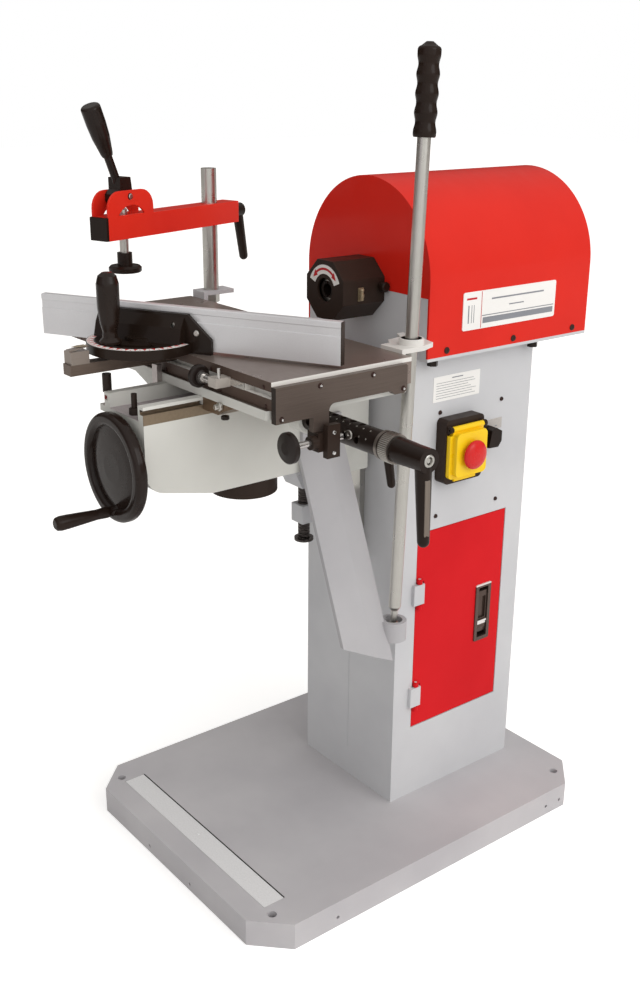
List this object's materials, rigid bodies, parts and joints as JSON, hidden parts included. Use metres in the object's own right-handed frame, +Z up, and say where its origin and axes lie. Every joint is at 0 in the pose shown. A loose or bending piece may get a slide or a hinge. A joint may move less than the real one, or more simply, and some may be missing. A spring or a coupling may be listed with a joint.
{
  "type": "slot mortiser",
  "caption": "Horizontal slot mortiser on a cast base: red motor hood, two-jaw chuck, compound table on a rising knee, long control lever, index bar, cam clamp and mitre fence.",
  "frame": {"origin": "centre of the base on the floor", "axes": "+Z up, front and handwheel towards -Y, spindle axis along Y, +X to the operator's right"},
  "size_m": [0.6421, 0.762, 1.0693],
  "materials": {
    "light_grey_paint": "satin",
    "red_paint": "gloss",
    "cream_paint": "satin",
    "black_steel": "satin",
    "blank_label": "matte",
    "motor_grey": "satin",
    "machined_steel": "machined",
    "ground_iron": "ground",
    "oiled_steel": "dark oiled",
    "bright_chrome": "polished",
    "black_plastic": "satin",
    "yellow_plastic": "gloss",
    "red_plastic": "gloss",
    "green_plastic": "gloss",
    "aluminium_profile": "anodised",
    "bronze": "machined"
  },
  "bodies": {
    "frame": {"base_tray": "light_grey_paint", "column": "light_grey_paint", "column_bolts": "black_steel", "motor_plate": "light_grey_paint", "hood": "red_paint", "cover_screws": "black_steel", "blank_plates": "blank_label", "motor_body": "motor_grey", "vertical_guide": "machined_steel", "lift_nut": "cream_paint", "door_hinges": "light_grey_paint", "switch_box": "black_plastic"},
    "spindle": {"motor_shaft": "machined_steel", "chuck_body": "machined_steel"},
    "left_jaw": {"chuck_jaw_left": "oiled_steel"},
    "right_jaw": {"chuck_jaw_right": "oiled_steel"},
    "guard": {"chuck_guard": "black_plastic"},
    "guard_screw": {"guard_thumb_screw": "black_plastic"},
    "tool_door": {"door": "red_paint", "latch_plate": "bright_chrome"},
    "latch": {"latch_handle": "bright_chrome"},
    "flap": {"switch_flap": "yellow_plastic"},
    "stop_head": {"stop_button": "red_plastic"},
    "start_head": {"start_button": "green_plastic"},
    "selector": {"rotary_switch": "black_plastic"},
    "knee": {"knee_housing": "cream_paint", "dust_port": "black_plastic", "screw_bearing": "cream_paint", "lever_arm": "light_grey_paint", "stop_posts": "black_steel"},
    "height_lock": {"z_lock_lever": "black_plastic"},
    "wheel": {"handwheel": "black_steel", "handwheel_shaft": "machined_steel"},
    "crank": {"crank_handle": "black_plastic"},
    "screw": {"lift_screw": "oiled_steel"},
    "cross_slide": {"saddle": "ground_iron"},
    "bar": {"index_bar": "black_steel"},
    "bar_lever": {"index_lever": "black_plastic"},
    "table": {"table_top": "ground_iron", "side_plate": "oiled_steel", "side_plate_screws": "bright_chrome", "plunger_block": "black_steel", "lever_bracket": "light_grey_paint", "post_bracket": "light_grey_paint"},
    "plunger": {"index_plunger": "bright_chrome"},
    "length_stop": {"x_stop": "machined_steel"},
    "post": {"clamp_post": "machined_steel"},
    "clamp": {"clamp_arm": "red_paint", "arm_cap": "black_plastic"},
    "cam": {"cam_lever": "black_steel"},
    "press": {"press_rod": "machined_steel", "press_pad": "black_plastic"},
    "arm_lock": {"arm_lock_lever": "black_plastic"},
    "gauge_bar": {"mitre_bar": "oiled_steel"},
    "gauge_head": {"mitre_head": "black_steel"},
    "gauge_handle": {"mitre_handle": "black_plastic"},
    "fence_profile": {"fence": "aluminium_profile"},
    "socket_ball": {"lever_ball": "machined_steel"},
    "control_lever": {"control_rod": "machined_steel", "control_grip": "black_plastic"}
  },
  "joints": [
    {"name": "spindle_turn", "type": "hinge", "parent": "frame", "child": "spindle", "pos_m": [0.003, 0, 0.7745], "axis": [0, 1, 0], "continuous": true},
    {"name": "right_jaw_slide", "type": "slide", "parent": "spindle", "child": "right_jaw", "axis": [1, 0, 0], "range_m": [-0.0009, 0.003]},
    {"name": "left_jaw_slide", "type": "slide", "parent": "spindle", "child": "left_jaw", "axis": [-1, 0, 0], "range_m": [-0.0009, 0.003]},
    {"name": "guard_slide", "type": "slide", "parent": "frame", "child": "guard", "axis": [0, -1, 0], "range_m": [0, 0.016]},
    {"name": "guard_screw_turn", "type": "hinge", "parent": "guard", "child": "guard_screw", "pos_m": [0.044, 0.0228, 0.7785], "axis": [1, 0, 0], "range_deg": [-180, 180]},
    {"name": "door_hinge", "type": "hinge", "parent": "frame", "child": "tool_door", "pos_m": [0.1042, 0.052, 0.3], "axis": [0, 0, -1], "range_deg": [0, 110]},
    {"name": "latch_hinge", "type": "hinge", "parent": "tool_door", "child": "latch", "pos_m": [0.099, 0.182, 0.326], "axis": [0, -1, 0], "range_deg": [0, 60]},
    {"name": "flap_hinge", "type": "hinge", "parent": "frame", "child": "flap", "pos_m": [0.1243, 0.109, 0.596], "axis": [0, -1, 0], "range_deg": [0, 100]},
    {"name": "stop_press", "type": "slide", "parent": "flap", "child": "stop_head", "axis": [-1, 0, 0], "range_m": [0, 0.004], "stiffness_N_per_m": 600},
    {"name": "start_press", "type": "slide", "parent": "frame", "child": "start_head", "axis": [-1, 0, 0], "range_m": [0, 0.003], "stiffness_N_per_m": 500},
    {"name": "selector_turn", "type": "hinge", "parent": "frame", "child": "selector", "pos_m": [0.1015, 0.167, 0.5675], "axis": [1, 0, 0], "range_deg": [0, 60]},
    {"name": "knee_lift", "type": "slide", "parent": "frame", "child": "knee", "axis": [0, 0, 1], "range_m": [-0.027, 0.012]},
    {"name": "height_lock_turn", "type": "hinge", "parent": "knee", "child": "height_lock", "pos_m": [0.048, -0.02, 0.585], "axis": [1, 0, 0], "range_deg": [-75, 15]},
    {"name": "wheel_turn", "type": "hinge", "parent": "knee", "child": "wheel", "pos_m": [0.003, -0.35, 0.599], "axis": [0, 1, 0], "continuous": true},
    {"name": "crank_turn", "type": "hinge", "parent": "wheel", "child": "crank", "pos_m": [0.003, -0.362, 0.546], "axis": [0, 1, 0], "continuous": true},
    {"name": "screw_turn", "type": "hinge", "parent": "knee", "child": "screw", "pos_m": [0.003, -0.071, 0.52], "axis": [0, 0, 1], "continuous": true},
    {"name": "cross_travel", "type": "slide", "parent": "knee", "child": "cross_slide", "axis": [0, 1, 0], "range_m": [-0.059, 0.006]},
    {"name": "bar_turn", "type": "hinge", "parent": "cross_slide", "child": "bar", "pos_m": [0.096, -0.14, 0.647], "axis": [1, 0, 0], "range_deg": [-180, 0]},
    {"name": "bar_lever_turn", "type": "hinge", "parent": "bar", "child": "bar_lever", "pos_m": [0.28, -0.14, 0.647], "axis": [1, 0, 0], "range_deg": [-30, 30]},
    {"name": "table_travel", "type": "slide", "parent": "cross_slide", "child": "table", "axis": [1, 0, 0], "range_m": [0, 0.1]},
    {"name": "plunger_pull", "type": "slide", "parent": "table", "child": "plunger", "axis": [0, -1, 0], "range_m": [-0.008, 0]},
    {"name": "length_stop_slide", "type": "slide", "parent": "table", "child": "length_stop", "axis": [1, 0, 0], "range_m": [-0.055, 0.025]},
    {"name": "post_swing", "type": "hinge", "parent": "table", "child": "post", "pos_m": [-0.284, -0.024, 0.74], "axis": [0, 0, 1], "range_deg": [-60, 15]},
    {"name": "clamp_height", "type": "slide", "parent": "post", "child": "clamp", "axis": [0, 0, 1], "range_m": [-0.045, 0.03]},
    {"name": "cam_turn", "type": "hinge", "parent": "clamp", "child": "cam", "pos_m": [-0.23136, -0.19404, 0.8805], "axis": [0.9553, 0.2957, 0], "range_deg": [0, 75]},
    {"name": "press_slide", "type": "slide", "parent": "clamp", "child": "press", "axis": [0, 0, 1], "range_m": [-0.012, 0.0005]},
    {"name": "arm_lock_turn", "type": "hinge", "parent": "clamp", "child": "arm_lock", "pos_m": [-0.30174, 0.03332, 0.8415], "axis": [-0.2957, 0.9553, 0], "range_deg": [-60, 60]},
    {"name": "gauge_travel", "type": "slide", "parent": "table", "child": "gauge_bar", "axis": [0, 1, 0], "range_m": [-0.04, 0.015]},
    {"name": "gauge_swivel", "type": "hinge", "parent": "gauge_bar", "child": "gauge_head", "pos_m": [-0.046, -0.279, 0.722], "axis": [0, 0, 1], "range_deg": [-72, 16]},
    {"name": "gauge_handle_turn", "type": "hinge", "parent": "gauge_bar", "child": "gauge_handle", "pos_m": [-0.046, -0.321, 0.74], "axis": [0, 0, 1], "range_deg": [-180, 180]},
    {"name": "fence_travel", "type": "slide", "parent": "gauge_head", "child": "fence_profile", "axis": [0.8821, 0.471, 0], "range_m": [-0.06, 0.02]},
    {"name": "lever_tilt_front", "type": "hinge", "parent": "knee", "child": "socket_ball", "pos_m": [0.148, -0.034, 0.352], "axis": [1, 0, 0], "range_deg": [-12, 12]},
    {"name": "lever_tilt_side", "type": "hinge", "parent": "socket_ball", "child": "control_lever", "pos_m": [0.148, -0.034, 0.352], "axis": [0, 1, 0], "range_deg": [-2, 16]}
  ],
  "couplings": [
    {"joint": "left_jaw_slide", "follows": "right_jaw_slide", "ratio": 1},
    {"joint": "wheel_turn", "follows": "knee_lift", "rad_per_m": 1256.6},
    {"joint": "screw_turn", "follows": "knee_lift", "rad_per_m": -1256.6},
    {"joint": "press_slide", "follows": "cam_turn", "m_per_rad": -0.006875},
    {"joint": "lever_tilt_front", "follows": "cross_travel", "rad_per_m": -2.63},
    {"joint": "lever_tilt_side", "follows": "table_travel", "rad_per_m": 2.58}
  ]
}
